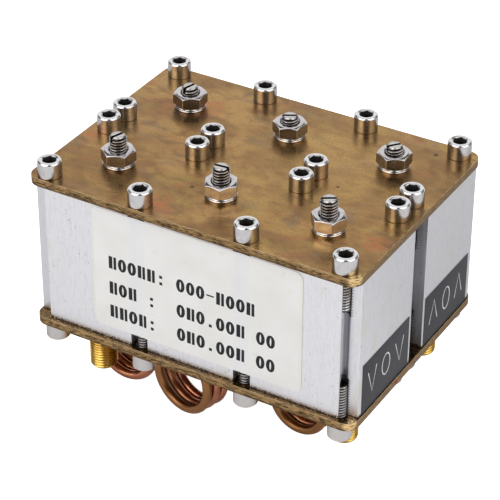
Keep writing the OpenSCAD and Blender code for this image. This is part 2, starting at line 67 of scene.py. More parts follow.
# The studio: a white floor and sweep, two soft boxes, and what shiny metal mirrors: a dark
# card round the camera and dark struts overhead. The coax coils rest on the floor. The
# studio's own sizes are in metres.
class Finish:
    """A material being mixed. Most calls add nodes, set their inputs to numbers or to the
    outputs of earlier calls, and give back an output. Its tone is the colour so far."""

    def __init__(self, name, tree=None, **sockets):
        """A new material with those shader settings, or a node tree that is there already."""
        if tree is None:
            self.material = bpy.data.materials.new(name)
            self.material.use_nodes = True
            tree = self.material.node_tree
            self.shader = tree.nodes["Principled BSDF"]
            for key, value in sockets.items():
                self.join(self.shader.inputs[key.replace("_", " ").title()], value)
        self.tree = tree

    def join(self, socket, value):
        """Sets a socket to a number or a colour, or links it to an output."""
        if isinstance(value, bpy.types.NodeSocket):
            self.tree.links.new(value, socket)
        elif socket.type == "RGBA":
            socket.default_value = (*value, 1.0)
        else:
            socket.default_value = value

    def node(self, kind, inputs, output=0, **settings):
        """A node of that kind, with its inputs and settings."""
        node = self.tree.nodes.new("ShaderNode" + kind)
        for key, value in settings.items():
            setattr(node, key, value)
        for key, value in inputs.items():
            self.join(node.inputs[key], value)
        return node.outputs[output]

    def place(self):
        """Millimetres from the origin, on the piece's own coordinates."""
        return self.node("VectorMath", {0: self.node("TexCoord", {}, output="Object"),
                                        1: (1000.0, 1000.0, 1000.0)}, operation="MULTIPLY")

    def axis(self, name):
        """One of the three coordinates of the place."""
        return self.node("SeparateXYZ", {0: self.place()}, output=name)

    def facing(self, name):
        """How far the surface faces along an axis, whichever way, from 0 to 1."""
        normal = self.node("TexCoord", {}, output="Normal")
        return self.maths("ABSOLUTE", self.node("SeparateXYZ", {0: normal}, output=name))

    def ray(self, kind):
        """1 for light that travels by that kind of ray, and otherwise 0."""
        return self.node("LightPath", {}, output=f"Is {kind} Ray")

    def maths(self, operation, first, second=0.0, third=0.0):
        """One step of arithmetic."""
        return self.node("Math", {0: first, 1: second, 2: third}, operation=operation)

    def times(self, product, *factors):
        """All the values multiplied."""
        for factor in factors:
            product = self.maths("MULTIPLY", product, factor)
        return product

    def apart(self, first, second):
        """The difference of two values, whichever is the larger."""
        return self.maths("ABSOLUTE", self.maths("SUBTRACT", first, second))

    def grain(self, size, detail=3.0, stretch=(1, 1, 1), twist=0.0, shift=0.0):
        """Noise whose patches are about as wide as size, in millimetres."""
        where = self.node("VectorMath", {0: self.place(), 1: tuple(1 / (size * s) for s in stretch),
                                         2: (shift, shift, shift)}, operation="MULTIPLY_ADD")
        return self.node("TexNoise", {"Vector": where, "Scale": 1.0, "Detail": detail,
                                      "Distortion": twist})

    def ease(self, value, low, high, to_low=0.0, to_high=1.0):
        """value, carried smoothly from low..high to to_low..to_high."""
        return self.node("MapRange", {0: value, 1: low, 2: high, 3: to_low, 4: to_high},
                         interpolation_type="SMOOTHSTEP")

    def near(self, centre, radius, soft, ragged, size):
        """1 inside a spot of that radius, falling to 0 over a soft rim. Noise of that size
        moves the rim in and out by up to half of ragged."""
        gap = self.node("VectorMath", {0: self.place(), 1: centre}, output="Value",
                        operation="DISTANCE")
        wander = self.maths("SUBTRACT", self.grain(size), 0.5)
        gap = self.maths("MULTIPLY_ADD", wander, ragged, gap)
        return self.ease(gap, radius, radius + soft, 1.0, 0.0)

    def blend(self, share, first, second):
        """The first colour where share is 0, and the second where it is 1."""
        return self.node("Mix", {0: share, 6: first, 7: second}, output=2, data_type="RGBA")

    def coat(self, share, colour):
        """Lays a colour over the tone that the finish has so far."""
        self.tone = self.blend(share, self.tone, colour)

    def bump(self, height, strength, depth):
        """Height, 0 to 1, as a bump that is depth millimetres high."""
        self.join(self.shader.inputs["Normal"], self.node(
            "Bump", {"Strength": strength, "Distance": depth * MM, "Height": height}))

    def wear(self, colour, roughness=None):
        """Gives the shader its colour and, unless it is even, its roughness."""
        self.join(self.shader.inputs["Base Color"], colour)
        if roughness is not None:
            self.join(self.shader.inputs["Roughness"], roughness)


toward_camera = np.array([np.sin(TURN), -np.cos(TURN), 0.0])


def bearing(finish, vector):
    """How far round from the camera's side a vector points, in radians, whichever way: the
    arctangent of its part along the picture over its part towards the camera."""
    parts = [finish.node("VectorMath", {0: vector, 1: tuple(way)}, output="Value",
                         operation="DOT_PRODUCT") for way in (level, toward_camera)]
    return finish.maths("ABSOLUTE", finish.maths("ARCTAN2", *parts))


DIFFUSE_SKY = 0.65
DARK = (0.07, 0.07, 0.075)
# How many struts a full turn round the object would hold
STRUTS = 4.8
world = bpy.data.worlds.new("sweep")
scene.world = world
world.use_nodes = True
sky = Finish("sweep", tree=world.node_tree)
direction = sky.node("TexCoord", {}, output="Generated")
height = sky.node("SeparateXYZ", {0: direction}, output="Z")
off_camera = bearing(sky, direction)
flank = sky.times(sky.ease(off_camera, 1.05, 1.3, 0.0, 0.88),
                  sky.ease(off_camera, 2.3, 2.6, 1.0, 0.0), sky.ease(height, 0.56, 0.62, 1.0, 0.0))
card = sky.times(sky.maths("MAXIMUM", flank, sky.ease(off_camera, 0.4, 0.6, 1.0, 0.0)),
                 sky.ease(height, 0.1, 0.25), sky.ease(height, 0.68, 0.74, 1.0, 0.0))
strut = sky.ease(sky.maths("COSINE", sky.times(off_camera, STRUTS)), 0.2, 0.5)
struts = sky.times(strut, sky.ease(height, 0.5, 0.56), sky.ease(height, 0.94, 0.97, 1.0, 0.0))
dim = sky.times(sky.maths("MAXIMUM", card, struts), sky.ray("Glossy"))
shown = sky.maths("MAXIMUM", sky.ray("Camera"),
                  sky.maths("MAXIMUM", sky.ray("Glossy"), sky.ray("Transmission")))
backdrop = world.node_tree.nodes["Background"]
sky.join(backdrop.inputs["Color"], sky.blend(dim, (1.0, 1.0, 1.0), DARK))
sky.join(backdrop.inputs["Strength"],
         sky.maths("MULTIPLY_ADD", shown, 1.0 - DIFFUSE_SKY, DIFFUSE_SKY))

FLOOR_HALF = 3.0
SQUARE = ((-1, -1), (1, -1), (1, 1), (-1, 1))
floor_mesh = bpy.data.meshes.new("floor")
floor_mesh.from_pydata([(x * FLOOR_HALF, y * FLOOR_HALF, 0.0) for x, y in SQUARE], [],
                       [(0, 1, 2, 3)])
floor = bpy.data.objects.new("floor", floor_mesh)
scene.collection.objects.link(floor)
white = Finish("floor_paint", roughness=0.9)
glossy = white.ray("Glossy")
behind = white.times(white.ease(bearing(white, white.place()), 1.25, 1.8), glossy)
white.wear(white.blend(behind, (0.8, 0.8, 0.8), (0.72, 0.72, 0.72)))
mirrored = white.times(white.maths("SUBTRACT", glossy, behind), 0.2)
glow = white.maths("MULTIPLY_ADD", white.ray("Camera"), 0.95, mirrored)
white.join(white.shader.inputs["Emission Color"], (1.0, 1.0, 1.0))
white.join(white.shader.inputs["Emission Strength"], glow)
white.shader.inputs["Specular IOR Level"].default_value = 0.0
floor_mesh.materials.append(white.material)


def soft_box(name, place, aim, size, watts):
    """A square lamp that is turned from its place towards what it is aimed at, in metres."""
    lamp = bpy.data.lights.new(name, "AREA")
    lamp.shape = "SQUARE"
    lamp.size = size
    lamp.energy = watts
    box = bpy.data.objects.new(name, lamp)
    box.location = place
    box.rotation_euler = (Vector(aim) - Vector(place)).to_track_quat("-Z", "Y").to_euler()
    scene.collection.objects.link(box)


soft_box("front_box", (-0.30, -0.60, 0.62), (0, 0, 0.04), 0.8, 3.2)
soft_box("side_box", (0.55, 0.05, 0.62), (0, 0, 0.04), 0.6, 1.4)


# The two plates: 2 mm brass sheet, sawn to size, its corners rounded with a file. The
# faces are tarnished in brown clouds, and the sawn edges are rough, with painted highlight and
# shade, and a worn upper rim that is partly a painted highlight.
PLATE_Z, PLATE_STEP, PLATE_SOFT = 18.0, 37.0, 0.38
CREASE, SHARP = 32.0, 35.0
BODY_Z = (20.0, 55.0)
NEAR_CORNER = (40.4, -28.9)
PAINT_DOT = (41.15, -9.25, 19.0)
# X and Y of each mark on the top plate, then its radius and its soft rim
RED_STAINS = [(-21.7, 16.8, 1.8, 3.0), (37.9, -14.5, 1.2, 3.0), (-38.4, -7.7, 1.0, 2.5),
              (-10.0, -25.0, 1.0, 4.0)]
SPECKS = [(-7.2, -15.3, 0.3, 0.3), (20.0, 0.95, 0.22, 0.3), (32.2, 24.2, 0.4, 0.3)]


def copied(node):
    """A copy of a CAD node's mesh, its loose triangles joined and its flat faces cleaned."""
    mesh = bpy.data.meshes.new(node)
    shell = bmesh.new()
    shell.from_mesh(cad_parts[node].data)
    bmesh.ops.remove_doubles(shell, verts=shell.verts, dist=1e-6)
    bmesh.ops.dissolve_limit(shell, angle_limit=np.radians(0.5), verts=shell.verts,
                             edges=shell.edges)
    shell.to_mesh(mesh)
    shell.free()
    return mesh


def finished(name, mesh, finish, body="housing", replaced=()):
    """Puts a mesh in the scene: smooth but for creases, painted, and riding on its body."""
    mesh.polygons.foreach_set("use_smooth", np.ones(len(mesh.polygons), bool))
    mesh.set_sharp_from_angle(angle=np.radians(CREASE))
    mesh.materials.clear()
    mesh.materials.append(finish.material)
    piece = bpy.data.objects.new(name, mesh)
    scene.collection.objects.link(piece)
    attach(piece, body)
    if replaced:
        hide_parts(*replaced)
    return piece


def soften(piece, width, segments):
    """Rounds the piece's sharp edges by a small bevel."""
    bevel = piece.modifiers.new("rounded_edges", "BEVEL")
    bevel.width = width * MM
    bevel.segments = segments
    bevel.limit_method = "ANGLE"
    bevel.angle_limit = np.radians(SHARP)
    bevel.use_clamp_overlap = True
    bevel.harden_normals = True


brass = Finish("brass_sheet", metallic=1.0)
cloud = brass.grain(12, detail=5, stretch=(1.5, 1, 1), twist=1.0)
streak = brass.grain(2.2, detail=6, stretch=(1.8, 1, 1), twist=0.5, shift=7.0)
fleck = brass.grain(0.5, detail=2)
brass.tone = brass.blend(brass.ease(cloud, 0.36, 0.64), (0.30, 0.162, 0.057), (0.505, 0.30, 0.102))
# Patches of olive, grey and red: size and shift, least noise, share and colour
for size, shift, least, share, colour in (
        (7.0, 31.0, 0.5, 0.55, (0.46, 0.31, 0.09)), (6.0, 19.0, 0.52, 0.6, (0.25, 0.175, 0.12)),
        (5.0, 3.0, 0.53, 0.6, (0.42, 0.17, 0.07))):
    patch = brass.grain(size, detail=5, stretch=(1.5, 1, 1), twist=0.8, shift=shift)
    brass.coat(brass.ease(patch, least, least + 0.2, 0.0, share), colour)
brass.coat(brass.ease(streak, 0.48, 0.7, 0.0, 0.48), (0.20, 0.113, 0.057))
# The middle is paler, and the front right corner is browner
for x, y, soft, share, colour in ((14.0, 8.0, 26.0, 0.45, (0.56, 0.35, 0.12)),
                                  (40.0, -28.0, 18.0, 0.4, (0.24, 0.14, 0.058))):
    wide = brass.near((x, y, TOP_OF_PLATE), 2.0, soft, 8.0, 9.0)
    brass.coat(brass.times(wide, share), colour)
for x, y, radius, soft in RED_STAINS:
    spot = brass.near((x, y, TOP_OF_PLATE), radius, soft, 6.0, 2.5)
    brass.coat(brass.times(spot, brass.ease(streak, 0.6, 0.4, 0.25, 0.8)), (0.48, 0.165, 0.065))
for x, y, radius, soft in SPECKS:
    brass.coat(brass.near((x, y, TOP_OF_PLATE), radius, soft, 0.6, 0.6), (0.05, 0.035, 0.03))
dust = brass.grain(0.38, detail=3, shift=23.0)
brass.coat(brass.ease(dust, 0.38, 0.62, 0.0, 0.45), (0.22, 0.128, 0.06))
brass.coat(brass.ease(fleck, 0.64, 0.74, 0.0, 0.45), (0.12, 0.08, 0.05))
# The sawn edges: bright and dark saw dashes, a painted highlight in the upper part, painted shade
# along the foot, and painted shade that evens the edges facing along X to a mid brown
upright = brass.facing("Z")
sawn = brass.ease(upright, 0.25, 0.6, 1.0, 0.0)
depth = brass.axis("Z")
in_sheet = brass.maths("MODULO", brass.maths("SUBTRACT", depth, PLATE_Z), PLATE_STEP)
saw_marks = brass.grain(0.18, detail=6, stretch=(7.0, 7.0, 1.1))
edge = brass.blend(brass.ease(saw_marks, 0.4, 0.6), (0.065, 0.04, 0.02), (0.385, 0.245, 0.108))
edge = brass.blend(brass.ease(in_sheet, 1.3, 1.6, 0.0, 0.3), edge, (0.56, 0.37, 0.18))
edge = brass.blend(brass.ease(in_sheet, 0.1, 0.7, 0.6, 0.0), edge, (0.075, 0.045, 0.026))
edge = brass.blend(brass.times(brass.facing("X"), 0.6), edge, (0.27, 0.17, 0.08))
brass.coat(sawn, edge)
# The upper rims are rubbed bright in places and carry a painted highlight, less metallic than the
# sheet; the near corner is rubbed brightest
rim = brass.times(brass.ease(upright, 0.3, 0.5), brass.ease(upright, 0.985, 0.9),
                  brass.ease(in_sheet, 1.2, 1.4))
rub = brass.grain(1.3, detail=5, stretch=(2, 2, 1), shift=13.0)
rim_wear_and_highlight = brass.times(rim, brass.ease(rub, 0.42, 0.54, 0.1, 1.0))
brass.coat(rim_wear_and_highlight, (1.0, 0.76, 0.46))
for z in (TOP_OF_PLATE, BODY_Z[0]):
    corner = brass.near((*NEAR_CORNER, z - 0.3), 1.0, 1.2, 1.0, 1.0)
    brass.coat(brass.times(corner, brass.ease(saw_marks, 0.4, 0.5)), (0.86, 0.62, 0.30))
# Dirt and painted shade on the ledge of the bottom plate, and a dot of red paint on its right edge
on_ledge = brass.maths("LESS_THAN", brass.apart(depth, BODY_Z[0] - 0.05), 0.2)
ledge_grime_and_shade = brass.ease(brass.grain(0.5, detail=4, shift=17.0), 0.42, 0.62, 0.9, 0.1)
brass.coat(brass.times(on_ledge, brass.ease(upright, 0.6, 0.9), ledge_grime_and_shade), (0.05, 0.037, 0.026))
brass.coat(brass.near(PAINT_DOT, 0.42, 0.12, 0.3, 0.5), (0.42, 0.02, 0.012))
gloss = brass.ease(streak, 0.3, 0.7, 0.24, 0.36)
brass.wear(brass.tone, brass.maths("MULTIPLY_ADD", sawn, 0.2, gloss))
# The painted highlight on the rims is less metallic, so that it stays bright
brass.join(brass.shader.inputs["Metallic"], brass.maths("MULTIPLY_ADD", rim_wear_and_highlight, -0.9, 1.0))
brass.bump(brass.maths("MULTIPLY_ADD", fleck, 0.05, brass.times(saw_marks, sawn)), 0.5, 0.12)

for node in ("top_plate", "bottom_plate"):
    plate = finished(node + "_sheet", copied(node), brass, replaced=[node])
    soften(plate, PLATE_SOFT, segments=3)


# The two band bodies: aluminium extrusions with three cavities each, cut to length and
# tapped at both ends. The screw ports are open to the outside along grooves.
PORT_X, PORT_Y, PORT_R = (13.2, 36.7), (3.3, 26.7), 1.6
TAPPED, CAP_PITCH = 9.5, 0.7
HALF_GAP, BODY_FACE, BODY_SOFT = 1.6, 28.6, 0.1
BANDS = {"low": -1, "high": 1}
BLACK = (0.012, 0.012, 0.012)


def from_axes(finish, name, axes):
    """Distance along X or Y to the nearest axis of a port: how far the distance from the
    middle is from the nearer of the two values."""
    away = finish.maths("ABSOLUTE", finish.axis(name))
    return finish.maths("MINIMUM", *(finish.apart(away, axis) for axis in axes))


alloy = Finish("extruded_aluminium", metallic=1.0)
die_lines = alloy.grain(0.16, detail=3, stretch=(1, 1, 120))
mottle = alloy.grain(0.35, detail=4, stretch=(1, 1, 6), shift=8.0)
stain = alloy.grain(5.5, detail=3, stretch=(1, 1, 1.6), shift=11.0)
scuff = alloy.grain(0.8, detail=4, shift=4.0)
alloy.tone = alloy.blend(alloy.ease(die_lines, 0.3, 0.7), (0.715, 0.71, 0.74), (0.765, 0.76, 0.79))
alloy.coat(alloy.ease(mottle, 0.48, 0.7, 0.0, 0.5), (0.62, 0.62, 0.655))
# Painted shade on the faces that look along X, the ends of the bodies
alloy.coat(alloy.ease(alloy.facing("X"), 0.1, 0.6, 0.0, 0.1), (0.575, 0.575, 0.61))
alloy.coat(alloy.ease(stain, 0.56, 0.72, 0.0, 0.45), (0.68, 0.66, 0.60))
# Painted shade over the left end of the bodies, beyond the front face's left corner
alloy.coat(alloy.ease(alloy.axis("X"), -37.4, -37.0, 0.45, 0.0), (0.50, 0.50, 0.53))
alloy.coat(alloy.ease(scuff, 0.64, 0.72, 0.0, 0.55), (0.36, 0.36, 0.38))
# Grime and painted contact shade where the bodies meet the plates, reaching further up from the
# lower plate
height = alloy.axis("Z")
above = alloy.maths("SUBTRACT", height, BODY_Z[0])
below = alloy.maths("SUBTRACT", BODY_Z[1], height)
from_edge = alloy.maths("MINIMUM", above, alloy.times(below, 1.8))
reach = alloy.maths("MULTIPLY_ADD", alloy.grain(0.35, detail=4, shift=2.0), 2.8, -0.95)
grime_and_contact_shade = alloy.ease(alloy.maths("SUBTRACT", from_edge, reach), -0.3, 0.15, 0.8, 0.0)
alloy.coat(grime_and_contact_shade, (0.04, 0.037, 0.033))
# The threads of the ports, near both ends, in painted light and shade: dark teeth at the burred
# mouths, the faces in the gap between the bodies painted lighter with white and black teeth on
# them, and the ports painted darker inside with dark thread roots
gap_x, gap_y = from_axes(alloy, "X", PORT_X), from_axes(alloy, "Y", PORT_Y)
squares = alloy.maths("MULTIPLY_ADD", gap_x, gap_x, alloy.times(gap_y, gap_y))
from_port = alloy.maths("SQRT", squares)
tapped = alloy.ease(alloy.maths("MINIMUM", above, below), TAPPED, TAPPED + 0.2, 1.0, 0.0)
tooth = alloy.maths("PINGPONG", alloy.maths("DIVIDE", height, CAP_PITCH / 2), 1.0)
root = alloy.ease(tooth, 0.35, 0.6)
ragged = alloy.times(tooth, alloy.grain(1.2, shift=5.0))
from_middle = alloy.maths("ABSOLUTE", alloy.axis("Y"))
# Painted shade: dark teeth round the burred mouths of the ports
burred_mouth_shade = alloy.maths("MULTIPLY_ADD", ragged, -1.1, from_port)
burred_mouth_shade = alloy.ease(burred_mouth_shade, PORT_R - 0.1, PORT_R, 1.0, 0.0)
inner = alloy.maths("LESS_THAN", from_middle, BODY_FACE - 0.2)
alloy.coat(alloy.times(burred_mouth_shade, tapped, inner, 0.5), (0.03, 0.03, 0.03))
# Painted light on the faces in the gap between the bodies, and on them painted highlights and shade
# as thread teeth
between = alloy.maths("LESS_THAN", from_middle, HALF_GAP)
alloy.coat(between, (0.92, 0.92, 0.95))
gap_teeth_light_and_shade = alloy.ease(alloy.maths("MULTIPLY_ADD", ragged, -1.6, gap_x), 2.6, 2.75, 1.0, 0.0)
alloy.coat(alloy.times(gap_teeth_light_and_shade, between, tapped), alloy.blend(root, (0.98, 0.98, 1.0), BLACK))
# Painted shade inside the ports, darkest in the roots of the thread
in_port = alloy.ease(from_port, PORT_R - 0.15, PORT_R + 0.1, 1.0, 0.0)
wall = alloy.blend(tapped, (0.60, 0.60, 0.64), (0.66, 0.66, 0.68))
alloy.coat(alloy.times(in_port, 0.8), wall)
alloy.coat(alloy.times(in_port, tapped, root, 0.55), BLACK)
alloy.wear(alloy.tone, alloy.ease(die_lines, 0.3, 0.7, 0.38, 0.48))
threads = alloy.times(tooth, in_port, tapped)
alloy.bump(alloy.maths("MULTIPLY_ADD", die_lines, 0.05, threads), 0.6, 0.1)

for band in BANDS:
    body = finished(band + "_band_extrusion", copied(band + "_band_body"), alloy,
                    replaced=[band + "_band_body"])
    soften(body, BODY_SOFT, segments=1)


# The cap screws: M3 x 10 socket heads, nickel plated, sixteen in each plate. The top ones
# are bright and the ones below are dull. Each is turned bar with a hexagonal socket.
CAP_R, CAP_LEN, CAP_CUT, CAP_SIDES, THREAD_STEPS = 1.5, 10.0, 0.36, 36, 6
HEAD_R, HEAD_H, SOCKET, SOCKET_DEPTH, MOUTH_R = 2.75, 3.85, 2.9, 2.0, 1.74
# The head's upper rim: how far in and how far down from the corner each point lies
HEAD_RIM = ((0, 0.42), (0, 0.36), (0.05, 0.27), (0.27, 0.05), (0.36, 0), (0.42, 0))


def skin(points, around=False, caps=False):
    """Vertices and faces of a grid of points: each row is joined to the next by four-sided
    faces, round to its own start if around, and the end rows are closed if caps."""
    rows, columns = points.shape[:2]
    index = np.arange(rows * columns).reshape(rows, columns)
    if around:
        index = np.hstack([index, index[:, :1]])
    faces = np.stack([index[:-1, :-1], index[:-1, 1:], index[1:, 1:], index[1:, :-1]],
                     axis=-1).reshape(-1, 4).tolist()
    if caps:
        faces += [index[0, :columns][::-1].tolist(), index[-1, :columns].tolist()]
    return points.reshape(-1, 3), faces


def turned(rows, sides):
    """A shape turned about the upright axis: each row is a radius and a height, both a
    number or one value for each direction, and the point lies at (r cos a, r sin a, z)."""
    angle = np.linspace(0, 2 * np.pi, sides + 1)
    points = np.array([np.stack([r * np.cos(angle), r * np.sin(angle), z + 0 * angle], axis=-1)
                       for r, z in rows])
    return skin(points)


def hexagon(across, sides):
    """Radius of a hexagon in each direction: half its width over the cosine of the angle
    from the middle of the nearest side."""
    angle = np.linspace(0, 360, sides + 1)
    return across / 2 / np.cos(np.radians(angle % 60 - 30))


def thread(low, high, crest, depth, pitch, chamfer, sides):
    """Rows of a screw thread. A row climbs one pitch in a turn and is clipped at the ends.
    The radius is the crest less the depth times a triangle wave of (height / pitch - turn),
    stretched and clipped to flat crests and roots. A cone cuts both ends by the chamfer."""
    turn = np.linspace(0, 1, sides + 1)
    count = int(np.ceil((high - low + pitch) / pitch * THREAD_STEPS)) + 1
    starts = low - pitch + pitch * np.arange(count) / THREAD_STEPS
    z = np.clip(starts[:, None] + pitch * turn, low, high)
    wave = np.clip(1.7 * np.abs(2 * ((z / pitch - turn) % 1) - 1) - 0.35, 0, 1)
    radius = crest - depth * (1 - wave)
    radius = np.minimum(radius, crest - chamfer + np.minimum(z - low, high - z))
    return list(zip(radius, z))


def placed(shape, at, turn=0.0, over=False):
    """A shape turned about the upright axis, upside down if over, and moved to its place."""
    points, faces = shape
    if over:
        points = points * [1, -1, -1]
    c, s = np.cos(np.radians(turn)), np.sin(np.radians(turn))
    return points @ np.array([[c, s, 0], [-s, c, 0], [0, 0, 1]]) + at, faces


def meshed(name, shapes):
    """One mesh from shapes in millimetres: points that meet are merged, and every closed
    shell faces outwards."""
    points = np.vstack([p for p, _ in shapes]) * MM
    starts = np.cumsum([0] + [len(p) for p, _ in shapes])
    faces = [[i + start for i in face] for start, (_, fs) in zip(starts, shapes) for face in fs]
    mesh = bpy.data.meshes.new(name)
    mesh.from_pydata(points.tolist(), [], faces)
    shell = bmesh.new()
    shell.from_mesh(mesh)
    bmesh.ops.remove_doubles(shell, verts=shell.verts, dist=1e-7)
    bmesh.ops.dissolve_degenerate(shell, edges=shell.edges, dist=1e-8)
    bmesh.ops.recalc_face_normals(shell, faces=shell.faces)
    shell.to_mesh(mesh)
    shell.free()
    return mesh


def marked(mesh, share, hollow=None):
    """Writes the attribute that paints shade on most parts, and tarnish on the copper lines, on the
    faces' corners: the share of it, 0 to 1, at their points, and all of it on the faces whose
    middles are in the hollow."""
    points, middles = np.zeros(3 * len(mesh.vertices)), np.zeros(3 * len(mesh.polygons))
    mesh.vertices.foreach_get("co", points)
    mesh.polygons.foreach_get("center", middles)
    corners, counts = np.zeros(len(mesh.loops), int), np.zeros(len(mesh.polygons), int)
    mesh.loops.foreach_get("vertex_index", corners)
    mesh.polygons.foreach_get("loop_total", counts)
    values = np.clip(share(points.reshape(-1, 3) / MM), 0, 1)[corners]
    if hollow:
        values = np.maximum(values, np.repeat(hollow(middles.reshape(-1, 3) / MM), counts))
    mesh.attributes.new("shade_and_tarnish", "FLOAT", "CORNER").data.foreach_set("value", values)
    return mesh


def off_axis(points, axes):
    """Distance of each point from the nearest of some upright axes."""
    return np.linalg.norm(points[:, None, :2] - np.array(axes), axis=2).min(axis=1)


def metal(name, clean, worn, gloss, size, shade_and_tarnish_colour=(0.02, 0.017, 0.014), wear=(0.5, 0.74),
          dents=0.2, roughness_where_marked=0.3):
    """A metal finish: clean, with worn patches of about that size, darkened by the corner
    attribute, which is painted shade on most parts and brown tarnish on the copper lines, and from
    the lower to the higher roughness of gloss."""
    finish = Finish(name, metallic=1.0)
    patch = finish.grain(size, detail=4)
    shade_and_tarnish = finish.node("Attribute", {}, output="Fac", attribute_name="shade_and_tarnish")
    finish.tone = finish.blend(finish.ease(patch, *wear), clean, worn)
    finish.coat(shade_and_tarnish, shade_and_tarnish_colour)
    roughness = finish.ease(patch, 0.3, 0.7, *gloss)
    finish.wear(finish.tone, finish.maths("MULTIPLY_ADD", shade_and_tarnish, roughness_where_marked, roughness))
    finish.bump(patch, dents, 0.02)
    return finish


def cap_shade(radius, height, side_shade):
    """Painted shade on a cap screw. On the head: the given side share on its side, and 0.6 in the
    socket plus 0.2 for each millimetre down. On the thread: the depth below the crest over 0.25."""
    side = side_shade * ((radius > HEAD_R - 0.01) & (height < HEAD_H - 0.4))
    socket = (radius < MOUTH_R - 0.02) * (0.6 + 0.2 * (HEAD_H - height))
    return np.where(height > -0.01, side + socket, (CAP_R - radius) / 0.25)


socket_r = hexagon(SOCKET, CAP_SIDES)
cap_screw = turned([
    (0, -CAP_LEN), *thread(-CAP_LEN, 0.0, CAP_R, CAP_CUT, CAP_PITCH, 0.35, CAP_SIDES),
    (CAP_R, 0.0), (HEAD_R - 0.12, 0.0), (HEAD_R, 0.12),
    *((HEAD_R - inwards, HEAD_H - down) for inwards, down in HEAD_RIM),
    (MOUTH_R + 0.05, HEAD_H), (MOUTH_R, HEAD_H - 0.03),
    (socket_r, HEAD_H - 0.03 - 0.7 * (MOUTH_R - socket_r)),
    (socket_r, HEAD_H - SOCKET_DEPTH), (socket_r * 0.9, HEAD_H - SOCKET_DEPTH - 0.05),
    (0, HEAD_H - SOCKET_DEPTH - 0.4)], CAP_SIDES)
bright = metal("bright_nickel", (0.74, 0.73, 0.735), (0.60, 0.575, 0.56), (0.08, 0.14), 1.1,
               shade_and_tarnish_colour=(0.045, 0.036, 0.03), wear=(0.45, 0.8), dents=0.05, roughness_where_marked=0.45)
satin = metal("dull_nickel", (0.59, 0.565, 0.56), (0.54, 0.515, 0.51), (0.22, 0.28), 2.5,
              dents=0.04)
ports = [(x * sx, y * sy) for y in PORT_Y for x in PORT_X for sx in (-1, 1) for sy in (-1, 1)]
turns = np.random.default_rng(6).uniform(0, 60, (2, len(ports)))
for row, (node, seat, way, side_shade, plating, slot) in enumerate((
        ("top_cap_screws", TOP_OF_PLATE, 1, 0.25, bright, "bright_screw"),
        ("bottom_cap_screws", PLATE_Z, -1, 0.08, satin, "satin_screw"))):
    screws = [placed(cap_screw, (x, y, seat), turn, over=way < 0)
              for (x, y), turn in zip(ports, turns[row])]
    # Painted shade on the heads' sides, in the sockets and in the threads
    mesh = marked(meshed(node, screws),
                  lambda p: cap_shade(off_axis(p, ports), (p[:, 2] - seat) * way, side_shade))
    finished(node + "_turned", mesh, plating, replaced=[node])


# The lock washers: split rings of flattened spring wire, one under each lock nut. The
# cut runs across the ring at a slant, and a groove runs round the outside.
PITCH, BODY_Y = 26.4, 15.0
WASHER_T, WASHER_R, WASHER_BORE, WASHER_EDGE = 0.85, 3.6, 2.15, 0.12
SPLIT, CUT_SLANT, FIRST_CUT, NEXT_CUT = 0.6, 9.0, 90, 40


def by_cavity(kind):
    """Each node of a kind, with its band, its number in the band, and the X and Y of its
    cavity: the number less 2 times the pitch, and the body's middle on the band's side."""
    return [(f"{band}_{kind}_{i}", band, i, ((i - 2) * PITCH, side * BODY_Y))
            for band, side in BANDS.items() for i in (1, 2, 3)]


steps = np.linspace(0, 1, 73)[:, None]
edge, middle = WASHER_EDGE, WASHER_T / 2
section = np.array([
    (WASHER_BORE + edge, 0), (WASHER_R - edge, 0), (WASHER_R, edge), (WASHER_R, middle - edge),
    (WASHER_R - edge, middle), (WASHER_R, middle + edge), (WASHER_R, WASHER_T - edge),
    (WASHER_R - edge, WASHER_T), (WASHER_BORE + edge, WASHER_T), (WASHER_BORE, WASHER_T - edge),
    (WASHER_BORE, edge)])
half_cut = np.degrees(SPLIT / 2 / WASHER_R)
slant = CUT_SLANT * (section[:, 1] / WASHER_T - 0.5) * np.abs(2 * steps - 1) ** 12
swing = np.radians(half_cut + steps * (360 - 2 * half_cut) + slant)
ring = skin(np.stack([section[:, 0] * np.cos(swing), section[:, 0] * np.sin(swing),
                      section[:, 1] + 0 * swing], axis=-1), around=True, caps=True)

spring = metal("spring_washer", (0.60, 0.58, 0.565), (0.40, 0.38, 0.365), (0.14, 0.2), 1.5,
               dents=0.04)
for node, _, i, (x, y) in by_cavity("lock_washer"):
    washer = placed(ring, (x, y, TOP_OF_PLATE), FIRST_CUT + NEXT_CUT * (i - 1))
    finished(node + "_ring", meshed(node, [washer]), spring, replaced=[node])


# The lock nuts: M4 hexagon nuts, nickel plated, their corners turned down by a cone at
# both faces, with a countersink at both ends of the hole.
NUT_SIDES = 96
NUT_Z = TOP_OF_PLATE + WASHER_T
NUT_AF, NUT_H, NUT_FACE, NUT_BORE, SINK, NUT_SOFT = 7.0, 2.9, 3.4, 2.0, 0.35, 0.18
NUT_TURN = {"low": (22.0, -3.0, 9.0), "high": (35.0, 22.5, 30.5)}

sides_r = hexagon(NUT_AF, NUT_SIDES)
drop = (sides_r - NUT_FACE) * np.tan(np.radians(30))
nut = turned([(NUT_BORE, SINK), (NUT_BORE + SINK, 0), (NUT_FACE, 0), (sides_r, drop),
              (sides_r, NUT_H - drop), (NUT_FACE, NUT_H), (NUT_BORE + SINK, NUT_H),
              (NUT_BORE, NUT_H - SINK), (NUT_BORE, SINK)], NUT_SIDES)

